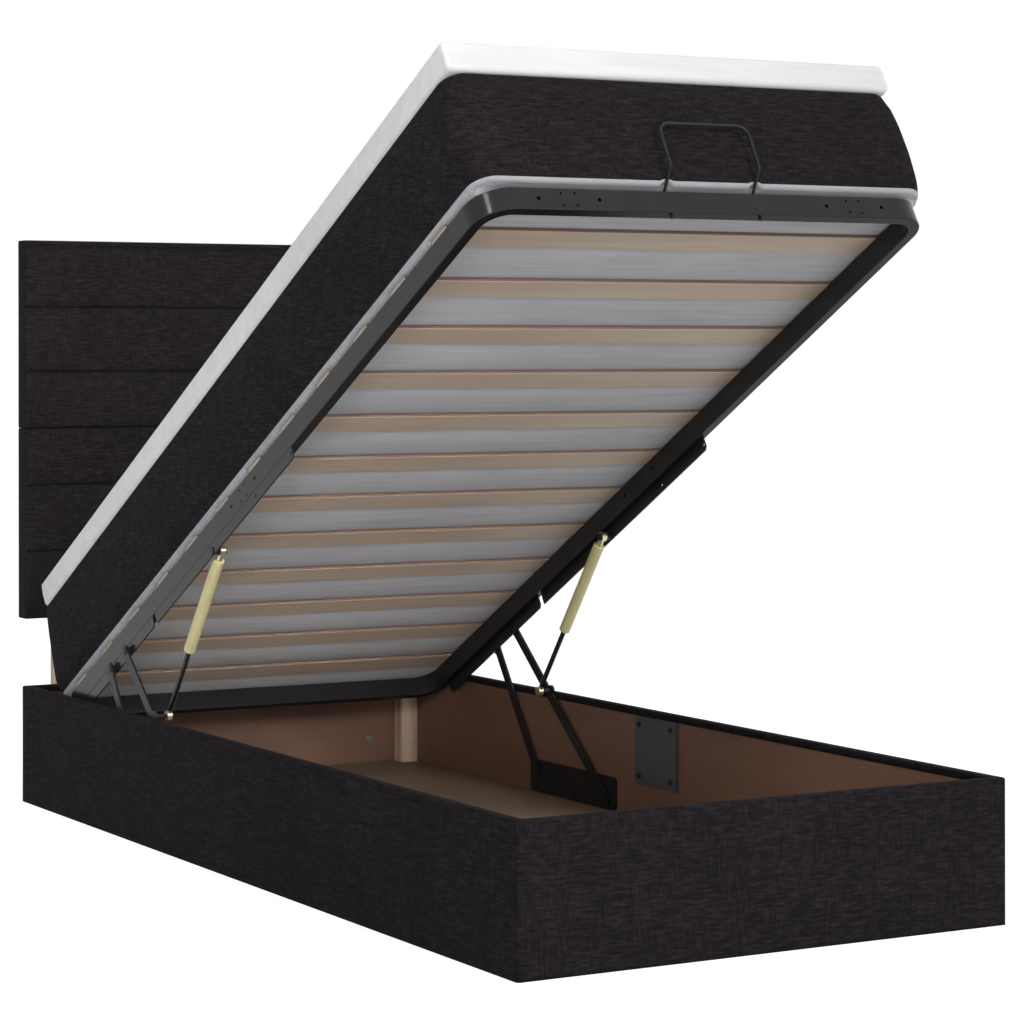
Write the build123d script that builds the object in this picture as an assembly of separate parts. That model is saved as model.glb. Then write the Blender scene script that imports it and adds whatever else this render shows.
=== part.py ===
from build123d import *
import os
from math import atan2, cos, degrees, hypot, radians, sin

# Ottoman bed: storage base, padded headboard, gas-lifted slatted frame with mattress and topper.
# Millimetres. +Z up, +Y towards the head, X across, stored with the platform raised.

# Base box
base_length = 2030
base_width = 930
base_height = 241
board_thickness = 16
cover_thickness = 2
cover_turn_in = 13
cover_edge_radius = 3
side_seam_inset = 1098

# Headboard
headboard_side_inset = 15
headboard_thickness = 50
headboard_setback = 10.5
headboard_bottom = 378
headboard_join = 778
headboard_top = 1173
lower_seams = (518.8, 657.9)
upper_seams = (896.1, 1032.1, 1159.6)
channel_depth = 5
welt_depth = 3
headboard_edge_radius = 6
panel_clearance = 0.3

# Headboard posts
post_width = 60
post_corner_gap = 33
post_tongue = 21
post_foot = 30
post_top = 1060
post_bolt_heights = (80, 190)
post_bolt_radius = 4
post_head_radius = 8
post_head_height = 3
post_screw_heights = (430, 720, 830, 1000)
post_screw_radius = 2.5
post_screw_head_radius = 5
post_screw_head_height = 3
post_screw_depth = 14

# Lift mechanism in the side plane, insets from the base head face and heights from the floor
front_pivot_inset = 846.6
front_pivot_height = 51.2
front_link_length = 466.7
front_link_angle = 40.825
rear_pivot_inset = 582.8
rear_pivot_height = 72.8
platform_tilt = 29.68
front_pin_run = 1605
rear_pin_run = 1690
link_pin_drop = 10
strut_pin_run = 1162
strut_pin_drop = 12.8
stud_along_link = 284.3
stud_above_link = 9.9
link_width = 20
link_thickness = 4
link_end_radius = 12
rear_pin_drift = 4.2
rear_slot_clearance = 0.8
rear_lug_radius = 14
stud_lug_radius = 11
base_plate_thickness = 3
plate_to_link = 1
base_plate_bottom = 30
base_plate_top = 96
base_plate_overhang = 32
base_plate_corner = 10
pivot_radius = 4
pivot_head_radius = 7.5
pivot_head_height = 2
pin_end_gap = 0.3
running_fit = 0.05
snug_fit = 0.02

# Plate bolts on the side boards
plate_bolt_radius = 3
plate_bolt_head_radius = 5
plate_bolt_head_height = 0.8
plate_bolt_depth = 10
plate_bolt_height = 40
plate_bolt_insets = (640, 720, 800)
plate_bolt_front = (870, 86)

# Steel platform frame
frame_side_gap = 32.5
frame_length = 1970
rail_width = 20
rail_height = 40
rail_wall = 1.5
rail_corner_radius = 2
frame_corner_radius = 60
rail_hole_radius = 3.5
rail_small_hole_radius = 2.2
hole_pattern_single = 56
hole_pattern_pair = 12.5
hole_pattern_rise = 11
side_pattern_run = 992
foot_pattern_offset = 276

# Brackets under the side rails
bracket_thickness = 3
bracket_drop = 21
strut_bracket_start = 779
strut_bracket_end = 1455
link_bracket_start = 1470
link_bracket_end = 1900
bracket_chamfer = 6
bracket_hole_radius = 3
bracket_hole_runs = (784, 947)
bracket_hole_drop = 10

# Slats
slat_count = 12
slat_width = 53
slat_thickness = 8
slat_pitch = 155.5
slat_first_run = 128
slat_end_inset = 4.5
slat_edge_radius = 2
slat_screw_radius = 2
slat_screw_head_radius = 4
slat_screw_head_height = 2
slat_screw_tip = 12

# Pull handle
handle_radius = 2.75
handle_half_width = 86
handle_leg_run = 10
handle_stub = 5
handle_kink_run = -28
handle_kink_rise = 71
handle_top_run = -31
handle_top_rise = 150
handle_bend_start = 3.2
handle_foot_bend = 6
handle_kink_bend = 8
handle_top_bend = 20

# Gas struts
strut_inset = 19.5
strut_eye_thickness = 10
strut_eye_radius = 9
strut_neck_radius = 6
strut_neck_length = 22
cylinder_radius = 11
cylinder_bore_radius = 9.2
cylinder_end = 243.5
cylinder_cap = 8
cylinder_guide = 11.5
rod_radius = 5
rod_start = 214
rod_neck = 14
rod_neck_radius = 4.5
piston_length = 12
upper_clip_radius = 7
upper_clip_height = 2.2

# Mattress and topper
mattress_side_inset = 1.5
mattress_length = 1979
mattress_start = -1
mattress_rise = 203.2
mattress_corner_radius = 38
mattress_lower_radius = 15
mattress_upper_radius = 10
mattress_bulge = 2.5
topper_side_overhang = 1
topper_length = 1973
topper_start = -10
topper_edge_rise = 52
topper_crown = 3
topper_corner_radius = 7
topper_lower_radius = 10
topper_upper_radius = 4
soft_gap = 0.3

# Corner posts, floor and joints inside the box
corner_post_size = 38
corner_post_height = 194
buffer_radius = 12
buffer_height = 5.7
buffer_stem_radius = 4
buffer_stem = 12
corner_screw_radius = 2.5
corner_screw_head_radius = 4.5
corner_screw_head_height = 2.5
corner_screw_heights = (55, 145)
corner_screw_step = 18
corner_screw_depth = 10
ledge_width = 18
ledge_bottom = 8
ledge_height = 16
floor_thickness = 5
floor_clearance = 1
bearer_width = 60
joint_plate_length = 149.5
joint_plate_thickness = 2
joint_plate_bottom = 95
joint_plate_rim_gap = 14
joint_plate_flange = 6
joint_plate_setback = 3.5
joint_bolt_radius = 3
joint_bolt_head_radius = 5.5
joint_bolt_head_height = 3
joint_bolt_inset = 24
joint_bolt_edge = 16
dowel_radius = 4
dowel_length = 40
dowel_heights = (60, 180)

# Placing
half = 0.5
overall_depth = base_length + headboard_setback + headboard_thickness
y_foot = -overall_depth * half
y_head = y_foot + base_length
x_outer = base_width * half
x_cover = x_outer - cover_thickness
x_board = x_cover - board_thickness
x_band = x_board - cover_thickness
wall = x_outer - x_band
y_headboard = y_head + headboard_setback
headboard_width = base_width - headboard_side_inset - headboard_side_inset
y_back = y_headboard + headboard_thickness
x_rail = x_outer - frame_side_gap
frame_width = x_rail + x_rail
slat_reach = x_rail - slat_end_inset
strut_offset = x_rail - strut_inset
mattress_width = frame_width - mattress_side_inset - mattress_side_inset
topper_width = frame_width + topper_side_overhang + topper_side_overhang
x_plate = x_board - base_plate_thickness
x_link = x_plate - plate_to_link
x_link_inner = x_link - link_thickness
front_pivot = (y_head - front_pivot_inset, front_pivot_height)
rear_pivot = (y_head - rear_pivot_inset, rear_pivot_height)
link_turn = radians(front_link_angle)
tilt = radians(platform_tilt)
front_pin = (
    front_pivot[0] + front_link_length * cos(link_turn),
    front_pivot[1] + front_link_length * sin(link_turn),
)
frame_origin = (
    front_pin[0] - front_pin_run * cos(tilt) + link_pin_drop * sin(tilt),
    front_pin[1] + front_pin_run * sin(tilt) + link_pin_drop * cos(tilt),
)
on_platform = Location((0, *frame_origin), (-platform_tilt, 0, 0))
joint_plate_top = base_height - joint_plate_rim_gap
ledge_top = ledge_bottom + ledge_height
floor_top = ledge_top + floor_thickness


def platform_point(run, rise):
    """Side-plane position of a point given along and above the platform."""
    return (
        frame_origin[0] + run * cos(tilt) + rise * sin(tilt),
        frame_origin[1] - run * sin(tilt) + rise * cos(tilt),
    )


rear_pin = platform_point(rear_pin_run, -link_pin_drop)
strut_pin = platform_point(strut_pin_run, -strut_pin_drop)
rear_link_length = hypot(rear_pin[0] - rear_pivot[0], rear_pin[1] - rear_pivot[1])
rear_link_angle = degrees(atan2(rear_pin[1] - rear_pivot[1], rear_pin[0] - rear_pivot[0]))
strut_stud = (
    front_pivot[0] + stud_along_link * cos(link_turn) - stud_above_link * sin(link_turn),
    front_pivot[1] + stud_along_link * sin(link_turn) + stud_above_link * cos(link_turn),
)
strut_angle = degrees(atan2(strut_stud[1] - strut_pin[1], strut_stud[0] - strut_pin[0]))
strut_span = hypot(strut_stud[0] - strut_pin[0], strut_stud[1] - strut_pin[1])


def block(x0, x1, y0, y1, z0, z1):
    """Solid between two corners."""
    centre = Pos((x0 + x1) * half, (y0 + y1) * half, (z0 + z1) * half)
    return centre * Box(x1 - x0, y1 - y0, z1 - z0)


def pin_x(x0, x1, y, z, radius):
    """Round bar across the bed."""
    return Pos((x0 + x1) * half, y, z) * Rot(0, 90, 0) * Cylinder(radius, x1 - x0)


def pin_y(y0, y1, x, z, radius):
    """Round bar along the bed."""
    return Pos(x, (y0 + y1) * half, z) * Rot(90, 0, 0) * Cylinder(radius, y1 - y0)


def pin_z(z0, z1, x, y, radius):
    """Upright round bar."""
    return Pos(x, y, (z0 + z1) * half) * Cylinder(radius, z1 - z0)


def other_side(shape):
    """The same piece on the other side of the bed."""
    return mirror(shape, about=Plane.YZ)


def both_sides(shapes):
    """Pieces of one side and their twins."""
    return Compound(children=list(shapes) + [other_side(s) for s in shapes])


def side_profile(points, x0, x1):
    """Plate cut in the side plane from (y, z) points."""
    plate = extrude(Plane.YZ * make_face(Polyline(*points, close=True)), x1 - x0)
    return Pos(x0, 0, 0) * plate


# Upholstered panels of the base


def side_cover():
    """Fabric around the outer face and rim of the right side board."""
    y0 = y_foot + wall
    y1 = y_head - wall
    body = block(x_band, x_outer, y0, y1, 0, base_height)
    body = fillet(body.edges().filter_by(Axis.Y).group_by(Axis.Z)[-1], cover_edge_radius * half)
    core = block(x_board, x_cover, y0, y1, 0, base_height - cover_thickness)
    inside = block(x_band, x_board, y0, y1, 0, base_height - cover_turn_in)
    return body - core - inside


def end_cover(y_outer, inward):
    """Fabric around the outer face, ends and rim of an end board."""
    y_in = y_outer + inward * wall
    lo, hi = sorted((y_outer, y_in))
    body = block(-x_outer, x_outer, lo, hi, 0, base_height)
    outer_edges = body.edges().filter_by(Axis.Z).sort_by(Axis.Y)
    body = fillet(outer_edges[:2] if inward > 0 else outer_edges[-2:], cover_edge_radius)
    body = fillet(body.edges().group_by(Axis.Z)[-1], cover_edge_radius * half)
    y_a = y_outer + inward * cover_thickness
    y_b = y_a + inward * board_thickness
    c0, c1 = sorted((y_a, y_b))
    core = block(-x_cover, x_cover, c0, c1, 0, base_height - cover_thickness)
    i0, i1 = sorted((y_b, y_in))
    inside = block(-x_outer, x_outer, i0, i1, 0, base_height - cover_turn_in)
    return body - core - inside


def side_board(y0, y1):
    """One half of the right side board, with its screw, bolt and dowel holes."""
    board = block(x_board, x_cover, y0, y1, 0, base_height - cover_thickness)
    for y, z in plate_bolt_points():
        board -= pin_x(x_board, x_board + plate_bolt_depth, y, z, plate_bolt_radius + snug_fit)
    for y, z in joint_bolt_points():
        board -= pin_x(x_board, x_board + plate_bolt_depth, y, z, joint_bolt_radius + snug_fit)
    for z in dowel_heights:
        board -= dowel(z, dowel_radius + snug_fit)
    for end in (-1, 1):
        for z in corner_screw_heights:
            y = corner_y(end)
            board -= pin_x(x_board, x_board + corner_screw_depth, y, z, corner_screw_radius + snug_fit)
    return board


def end_board(y_outer, inward):
    """Foot or head board with its corner screw holes."""
    y_a = y_outer + inward * cover_thickness
    y_b = y_a + inward * board_thickness
    lo, hi = sorted((y_a, y_b))
    board = block(-x_cover, x_cover, lo, hi, 0, base_height - cover_thickness)
    a, b = sorted((y_b, y_b - inward * corner_screw_depth))
    for side in (-1, 1):
        for z in end_screw_heights():
            board -= pin_y(a, b, side * corner_x(), z, corner_screw_radius + snug_fit)
    return board


def head_board():
    """Head board with the bolt holes of the headboard posts."""
    board = end_board(y_head, -1)
    for x in post_centres():
        for z in post_bolt_heights:
            board -= pin_y(y_head - wall, y_head, x, z, post_bolt_radius + snug_fit)
    return board


def head_cover():
    """Head fabric with the bolt holes of the headboard posts."""
    cover = end_cover(y_head, -1)
    for x in post_centres():
        for z in post_bolt_heights:
            cover -= pin_y(y_head - wall, y_head, x, z, post_bolt_radius + snug_fit)
    return cover


# Joints inside the box


def seam_y():
    """Position of the joint between the two side boards."""
    return y_head - side_seam_inset


def corner_x():
    """Centre of a corner post across the bed."""
    return x_board - corner_post_size * half


def corner_y(end):
    """Centre of a corner post along the bed; end is -1 at the foot."""
    inner = wall - cover_thickness + corner_post_size * half
    return y_foot + inner if end < 0 else y_head - inner


def end_screw_heights():
    """Heights of the screws into the end boards, between those of the sides."""
    return [z + corner_screw_step for z in corner_screw_heights]


def corner_post(end):
    """Right corner post with its screw holes and the buffer's bore."""
    x, y = corner_x(), corner_y(end)
    r = corner_post_size * half
    post = block(x - r, x + r, y - r, y + r, 0, corner_post_height)
    post = chamfer(post.edges().filter_by(Axis.Z).sort_by(Axis.X)[:2], cover_edge_radius)
    hole = corner_screw_radius + snug_fit
    sink = corner_screw_head_radius + snug_fit
    head = corner_screw_head_height
    for z in corner_screw_heights:
        post -= pin_x(x - r, x + r, y, z, hole) + pin_x(x - r, x - r + head, y, z, sink)
    face = y - end * r
    a, b = sorted((face, face + end * head))
    for z in end_screw_heights():
        post -= pin_y(y - r, y + r, x, z, hole) + pin_y(a, b, x, z, sink)
    post -= pin_z(corner_post_height - buffer_stem, corner_post_height, x, y, buffer_stem_radius + snug_fit)
    return post


def corner_screws():
    """Wood screws of the four corner posts."""
    screws = []
    x = corner_x()
    r = corner_post_size * half
    head = corner_screw_head_height
    for end in (-1, 1):
        y = corner_y(end)
        for z in corner_screw_heights:
            shank = pin_x(x - r, x + r + corner_screw_depth, y, z, corner_screw_radius)
            screws.append(shank + pin_x(x - r, x - r + head, y, z, corner_screw_head_radius))
        face = y - end * r
        a, b = sorted((face, face + end * head))
        s0, s1 = sorted((face, y + end * (r + corner_screw_depth)))
        for z in end_screw_heights():
            shank = pin_y(s0, s1, x, z, corner_screw_radius)
            screws.append(shank + pin_y(a, b, x, z, corner_screw_head_radius))
    return both_sides(screws)


def rest_buffers():
    """Rubber buffers that carry the closed frame."""
    buffers = []
    for end in (-1, 1):
        x, y = corner_x(), corner_y(end)
        top = corner_post_height + buffer_height
        pad = pin_z(corner_post_height, top, x, y, buffer_radius)
        pad = fillet(pad.edges().group_by(Axis.Z)[-1], cover_edge_radius * half)
        stem = pin_z(corner_post_height - buffer_stem, corner_post_height, x, y, buffer_stem_radius)
        buffers.append(pad + stem)
    return both_sides(buffers)


def dowel(z, radius):
    """One dowel across the side seam."""
    reach = dowel_length * half
    return pin_y(seam_y() - reach, seam_y() + reach, x_board + board_thickness * half, z, radius)


def joint_plate():
    """Steel plate beside the seam, with the flange that hooks the foot half."""
    y1 = seam_y() + joint_plate_setback + joint_plate_length
    y0 = seam_y() + joint_plate_setback
    x0 = x_board - joint_plate_thickness
    plate = block(x0, x_board, y0, y1, joint_plate_bottom, joint_plate_top)
    plate = chamfer(plate.edges().filter_by(Axis.X).group_by(Axis.Y)[-1], joint_plate_flange)
    flange = block(
        x_board - joint_plate_flange, x_board, y0, y0 + joint_plate_thickness,
        joint_plate_bottom, joint_plate_top,
    )
    plate = plate + flange
    for y, z in joint_bolt_points():
        plate -= pin_x(x0, x_board, y, z, joint_bolt_radius + snug_fit)
    return plate


def joint_bolt_points():
    """Bolt positions of the plate beside the seam."""
    y0 = seam_y() + joint_plate_setback
    ys = (y0 + joint_bolt_inset, y0 + joint_plate_length - joint_bolt_edge)
    zs = (joint_plate_bottom + joint_bolt_edge, joint_plate_top - joint_bolt_edge)
    return [(y, z) for y in ys for z in zs]


def button_bolt(x_face, y, z, radius, head_radius, head_height):
    """Bolt with a domed head on the inside of a side board."""
    head = pin_x(x_face - head_height, x_face, y, z, head_radius)
    head = chamfer(head.edges().group_by(Axis.X)[0], head_height * half)
    return head + pin_x(x_face, x_board + plate_bolt_depth, y, z, radius)


def joint_bolts():
    """Bolts of both seam plates."""
    face = x_board - joint_plate_thickness
    return both_sides([
        button_bolt(face, y, z, joint_bolt_radius, joint_bolt_head_radius, joint_bolt_head_height)
        for y, z in joint_bolt_points()
    ])


def side_dowels():
    """Dowels across both side seams."""
    return both_sides([dowel(z, dowel_radius) for z in dowel_heights])


def ledge():
    """Right batten that carries the box floor."""
    r = corner_post_size
    y0 = y_foot + wall - cover_thickness + r
    y1 = y_head - wall + cover_thickness - r
    batten = block(x_board - ledge_width, x_board, y0, y1, ledge_bottom, ledge_top)
    notch_lo = floor_middle() - bearer_width * half
    notch_hi = floor_middle() + bearer_width * half
    return batten - block(x_board - ledge_width, x_board, notch_lo, notch_hi, 0, ledge_top)


def floor_middle():
    """Joint between the two floor boards."""
    return (y_foot + y_head) * half


def floor_bearer():
    """Cross batten on the floor under the joint of the two floor boards."""
    r = bearer_width * half
    bearer = block(-x_board, x_board, floor_middle() - r, floor_middle() + r, 0, ledge_top)
    return chamfer(bearer.edges().filter_by(Axis.X).group_by(Axis.Z)[-1], floor_clearance)


def floor_board(end):
    """Half of the box floor, notched at the corner posts; end is -1 at the foot."""
    outer = y_foot + wall - cover_thickness if end < 0 else y_head - wall + cover_thickness
    edge = outer - end * floor_clearance
    inner = floor_middle() + end * floor_clearance * half
    lo, hi = sorted((edge, inner))
    side = x_board - floor_clearance
    board = block(-side, side, lo, hi, ledge_top, floor_top)
    r = corner_post_size * half + floor_clearance
    for x in (-corner_x(), corner_x()):
        y = corner_y(end)
        board -= block(x - r, x + r, y - r, y + r, ledge_top, floor_top)
    return board


# Headboard


def channel_front(bottom, top, seams):
    """Padded front line in the side plane, drawn in at each seam."""
    marks = [bottom, *seams, top]
    line = []
    for lo, hi in zip(marks, marks[1:]):
        depth_lo = welt_depth if lo == bottom else channel_depth
        depth_hi = welt_depth if hi == top else channel_depth
        mid = (y_headboard, (lo + hi) * half)
        start = (y_headboard + depth_lo, lo)
        finish = (y_headboard + depth_hi, hi)
        line.append(ThreePointArc(start, mid, finish))
    return line


def headboard_panel(bottom, top, seams):
    """Padded panel with horizontal channels and back grooves for the posts."""
    front = channel_front(bottom, top, seams)
    start = (y_headboard + welt_depth, bottom)
    finish = (y_headboard + welt_depth, top)
    back = Polyline(finish, (y_back, top), (y_back, bottom), start)
    face = Plane.YZ * make_face(Curve() + front + back)
    body = Pos(-headboard_width * half, 0, 0) * extrude(face, headboard_width)
    uprights = body.edges().filter_by(Axis.Z)
    body = fillet(uprights.group_by(Axis.Y)[-1], headboard_edge_radius)
    r = post_width * half + panel_clearance
    slot = post_tongue + panel_clearance
    groove_top = min(top, post_top + panel_clearance)
    for x in post_centres():
        body -= block(x - r, x + r, y_back - slot, y_back, bottom, groove_top)
        for z in post_screw_heights:
            if bottom < z < top:
                tip = y_back - post_tongue - post_screw_depth
                body -= pin_y(tip, y_back, x, z, post_screw_radius + snug_fit)
    return body


def post_centres():
    """Centres of the two posts across the bed."""
    x = x_board - corner_post_size - post_corner_gap - post_width * half
    return (-x, x)


def headboard_post(x):
    """Wooden post, full depth against the base and thinned behind the panels."""
    shoulder = headboard_bottom - panel_clearance
    points = [
        (y_head, post_foot), (y_back, post_foot), (y_back, post_top),
        (y_back - post_tongue, post_top), (y_back - post_tongue, shoulder), (y_head, shoulder),
    ]
    r = post_width * half
    post = side_profile(points, x - r, x + r)
    post = chamfer(post.edges().filter_by(Axis.Y).group_by(Axis.Z)[-1], cover_edge_radius)
    for z in post_bolt_heights:
        post -= pin_y(y_head, y_back, x, z, post_bolt_radius + snug_fit)
        sink = post_head_height + snug_fit
        post -= pin_y(y_back - sink, y_back, x, z, post_head_radius + snug_fit)
    for z in post_screw_heights:
        post -= pin_y(y_back - post_tongue, y_back, x, z, post_screw_radius + snug_fit)
        sink = post_screw_head_height
        post -= pin_y(y_back - sink, y_back, x, z, post_screw_head_radius + snug_fit)
    return post


def headboard_bolts():
    """Bolts that hold the posts to the base."""
    inner = y_head - wall + cover_thickness
    bolts = []
    for x in post_centres():
        for z in post_bolt_heights:
            shank = pin_y(inner, y_back, x, z, post_bolt_radius)
            head = pin_y(inner - post_head_height, inner, x, z, post_head_radius)
            head = chamfer(head.edges().group_by(Axis.Y)[0], post_head_height * half)
            nut = pin_y(y_back - post_head_height, y_back, x, z, post_head_radius)
            bolts.append(shank + head + nut)
    return Compound(children=bolts)


def headboard_screws():
    """Screws from the posts into the padded panels."""
    screws = []
    for x in post_centres():
        for z in post_screw_heights:
            tip = y_back - post_tongue - post_screw_depth
            shank = pin_y(tip, y_back, x, z, post_screw_radius)
            sink = y_back - post_screw_head_height
            screws.append(shank + pin_y(sink, y_back, x, z, post_screw_head_radius))
    return Compound(children=screws)


# Lift mechanism


def plate_bolt_points():
    """Bolt positions of the mechanism's base plate."""
    points = [(y_head - inset, plate_bolt_height) for inset in plate_bolt_insets]
    return points + [(y_head - plate_bolt_front[0], plate_bolt_front[1])]


def base_plate():
    """Steel plate on the right side board with both lower pivots."""
    y0 = front_pivot[0] - base_plate_overhang
    y1 = rear_pivot[0] + base_plate_overhang
    plate = block(x_plate, x_board, y0, y1, base_plate_bottom, base_plate_top)
    plate = fillet(plate.edges().filter_by(Axis.X), base_plate_corner)
    for y, z in plate_bolt_points():
        plate -= pin_x(x_plate, x_board, y, z, plate_bolt_radius + snug_fit)
    for y, z in (front_pivot, rear_pivot):
        plate -= pin_x(x_plate, x_board, y, z, pivot_radius + snug_fit)
    return plate


def plate_bolts():
    """Low-head bolts of both base plates."""
    return both_sides([
        button_bolt(x_plate, y, z, plate_bolt_radius, plate_bolt_head_radius, plate_bolt_head_height)
        for y, z in plate_bolt_points()
    ])


def base_pivots():
    """Shoulder pins of the lower link ends."""
    pins = []
    for y, z in (front_pivot, rear_pivot):
        face = x_link_inner - pin_end_gap
        shank = pin_x(face, x_board, y, z, pivot_radius)
        head = pin_x(face - pivot_head_height, face, y, z, pivot_head_radius)
        pins.append(shank + head)
    return both_sides(pins)


def link_bar(length):
    """Flat bar with round ends, lying along +Y from its lower pivot."""
    r = link_width * half
    bar = make_face(Polyline((0, -r), (length, -r), (length, r), (0, r), close=True))
    ends = Circle(link_end_radius) + Pos(length, 0) * Circle(link_end_radius)
    hole = Circle(pivot_radius + running_fit)
    outline = bar + ends - hole - Pos(length, 0) * hole
    return Pos(x_link_inner, 0, 0) * extrude(Plane.YZ * outline, link_thickness)


def front_link():
    """Right front link with the lug and hole of the strut's stud."""
    bar = link_bar(front_link_length)
    lug = pin_x(x_link_inner, x_link, stud_along_link, stud_above_link, stud_lug_radius)
    hole = pin_x(x_link_inner, x_link, stud_along_link, stud_above_link, pivot_radius + snug_fit)
    bar = bar + lug - hole
    return Location((0, *front_pivot), (front_link_angle, 0, 0)) * bar


def rear_link():
    """Right rear link, its upper hole a short slot."""
    length = rear_link_length
    lug = pin_x(x_link_inner, x_link, length, -rear_pin_drift * half, rear_lug_radius)
    radius = pivot_radius + rear_slot_clearance
    slot = block(x_link_inner, x_link, length - radius, length + radius, -rear_pin_drift, 0)
    for drift in (0, -rear_pin_drift):
        slot += pin_x(x_link_inner, x_link, length, drift, radius)
    return Location((0, *rear_pivot), (rear_link_angle, 0, 0)) * (link_bar(length) + lug - slot)


def strut_studs():
    """Studs on the front links beside the lower strut eyes."""
    eye_face = strut_offset + strut_eye_thickness * half
    return both_sides([pin_x(eye_face + pin_end_gap, x_link, *strut_stud, pivot_radius)])


# Steel frame, slats and brackets, in platform coordinates


def rail_loop(inset, height, lift):
    """Rounded rectangle inside the frame's outline."""
    width = frame_width - inset - inset
    length = frame_length - inset - inset
    loop = RectangleRounded(width, length, frame_corner_radius - inset)
    return Pos(0, frame_length * half, lift) * extrude(loop, height)


def hole_pattern(run, rise):
    """Hole centres of one group: two singles outside four small ones."""
    singles = [(run - hole_pattern_single, rise), (run + hole_pattern_single, rise)]
    small = [
        (run + a * hole_pattern_pair, rise + b * hole_pattern_rise)
        for a in (-1, 1) for b in (-1, 1)
    ]
    return singles, small


def frame_tube():
    """Bent rectangular tube ring with its punched holes."""
    inner = rail_width
    tube = rail_loop(0, rail_height, 0) - rail_loop(inner, rail_height, 0)
    rims = tube.edges().group_by(Axis.Z)
    tube = fillet(rims[0] + rims[-1], rail_corner_radius)
    void_height = rail_height - rail_wall - rail_wall
    hollow = rail_loop(rail_wall, void_height, rail_wall)
    hollow -= rail_loop(inner - rail_wall, void_height, rail_wall)
    tube -= hollow
    rise = rail_height * half
    singles, small = hole_pattern(side_pattern_run, rise)
    for points, radius in ((singles, rail_hole_radius), (small, rail_small_hole_radius)):
        for run, up in points:
            tube -= pin_x(-x_rail, x_rail, run, up, radius)
    for side in (-1, 1):
        singles, small = hole_pattern(side * foot_pattern_offset, rise)
        for points, radius in ((singles, rail_hole_radius), (small, rail_small_hole_radius)):
            for x, up in points:
                tube -= pin_y(0, rail_width, x, up, radius)
        x = side * handle_half_width
        tube -= pin_z(0, rail_height, x, handle_leg_run, handle_radius + snug_fit)
    for run, x in slat_screw_points():
        tube -= pin_z(rail_height - slat_screw_tip, rail_height, x, run, slat_screw_radius + snug_fit)
    return tube


def slat_run(index):
    """Middle of a slat along the platform."""
    return slat_first_run + index * slat_pitch + slat_width * half


def slat_screw_points():
    """Screw positions over the middle of each side rail."""
    x = x_rail - rail_width * half
    return [(slat_run(i), side * x) for i in range(slat_count) for side in (-1, 1)]


def slat(index):
    """One flat birch slat with countersunk ends."""
    run = slat_run(index)
    r = slat_width * half
    bottom = rail_height
    top = rail_height + slat_thickness
    body = block(-slat_reach, slat_reach, run - r, run + r, bottom, top)
    body = fillet(body.edges().filter_by(Axis.X), slat_edge_radius)
    x = x_rail - rail_width * half
    for side in (-x, x):
        body -= pin_z(bottom, top, side, run, slat_screw_radius + snug_fit)
        body -= pin_z(top - slat_screw_head_height, top, side, run, slat_screw_head_radius + snug_fit)
    return body


def slat_screws():
    """Screws of all slats."""
    top = rail_height + slat_thickness
    screws = []
    for run, x in slat_screw_points():
        shank = pin_z(rail_height - slat_screw_tip, top, x, run, slat_screw_radius)
        head = pin_z(top - slat_screw_head_height, top, x, run, slat_screw_head_radius)
        screws.append(shank + head)
    return Compound(children=screws)


def bracket_bar(start, end, chamfered):
    """Flat bar on edge under the right rail, its outer face flush with the rail."""
    bar = block(x_rail - bracket_thickness, x_rail, start, end, -bracket_drop, 0)
    low = bar.edges().filter_by(Axis.X).group_by(Axis.Z)[0].sort_by(Axis.Y)
    return chamfer(low[:1] if chamfered else low, bracket_chamfer)


def strut_bracket():
    """Bar that holds the strut's upper pin."""
    bar = bracket_bar(strut_bracket_start, strut_bracket_end, True)
    for run in bracket_hole_runs:
        bar -= pin_x(x_rail - bracket_thickness, x_rail, run, -bracket_hole_drop, bracket_hole_radius)
    bar -= pin_x(
        x_rail - bracket_thickness, x_rail, strut_pin_run, -strut_pin_drop, pivot_radius + snug_fit
    )
    return bar


def link_bracket():
    """Bar that holds the upper ends of both links."""
    bar = bracket_bar(link_bracket_start, link_bracket_end, False)
    for run in (front_pin_run, rear_pin_run):
        bar -= pin_x(
            x_rail - bracket_thickness, x_rail, run, -link_pin_drop, pivot_radius + snug_fit
        )
    return bar


def link_pins():
    """Shoulder pins of the upper link ends, with their spacers."""
    pins = []
    inner = x_rail - bracket_thickness
    for run in (front_pin_run, rear_pin_run):
        shank = pin_x(inner, x_link + pin_end_gap, run, -link_pin_drop, pivot_radius)
        head = pin_x(inner - pivot_head_height, inner, run, -link_pin_drop, pivot_head_radius)
        collar = pin_x(x_rail, x_link_inner - pin_end_gap, run, -link_pin_drop, pivot_head_radius)
        rivet = pin_x(
            x_link + pin_end_gap, x_link + pin_end_gap + plate_to_link, run, -link_pin_drop,
            pivot_head_radius,
        )
        pins.append(shank + head + collar + rivet)
    return both_sides(pins)


def strut_pins():
    """Pins that carry the upper strut eyes."""
    outer = x_rail + pivot_head_height
    eye = strut_offset - strut_eye_thickness * half - pin_end_gap
    shank = pin_x(eye, outer, strut_pin_run, -strut_pin_drop, pivot_radius)
    head = pin_x(x_rail, outer, strut_pin_run, -strut_pin_drop, pivot_head_radius)
    clip = pin_x(eye - upper_clip_height, eye, strut_pin_run, -strut_pin_drop, upper_clip_radius)
    collar = pin_x(
        strut_offset + strut_eye_thickness * half + pin_end_gap, x_rail - bracket_thickness,
        strut_pin_run, -strut_pin_drop, upper_clip_radius,
    )
    return both_sides([shank + head + clip + collar])


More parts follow.
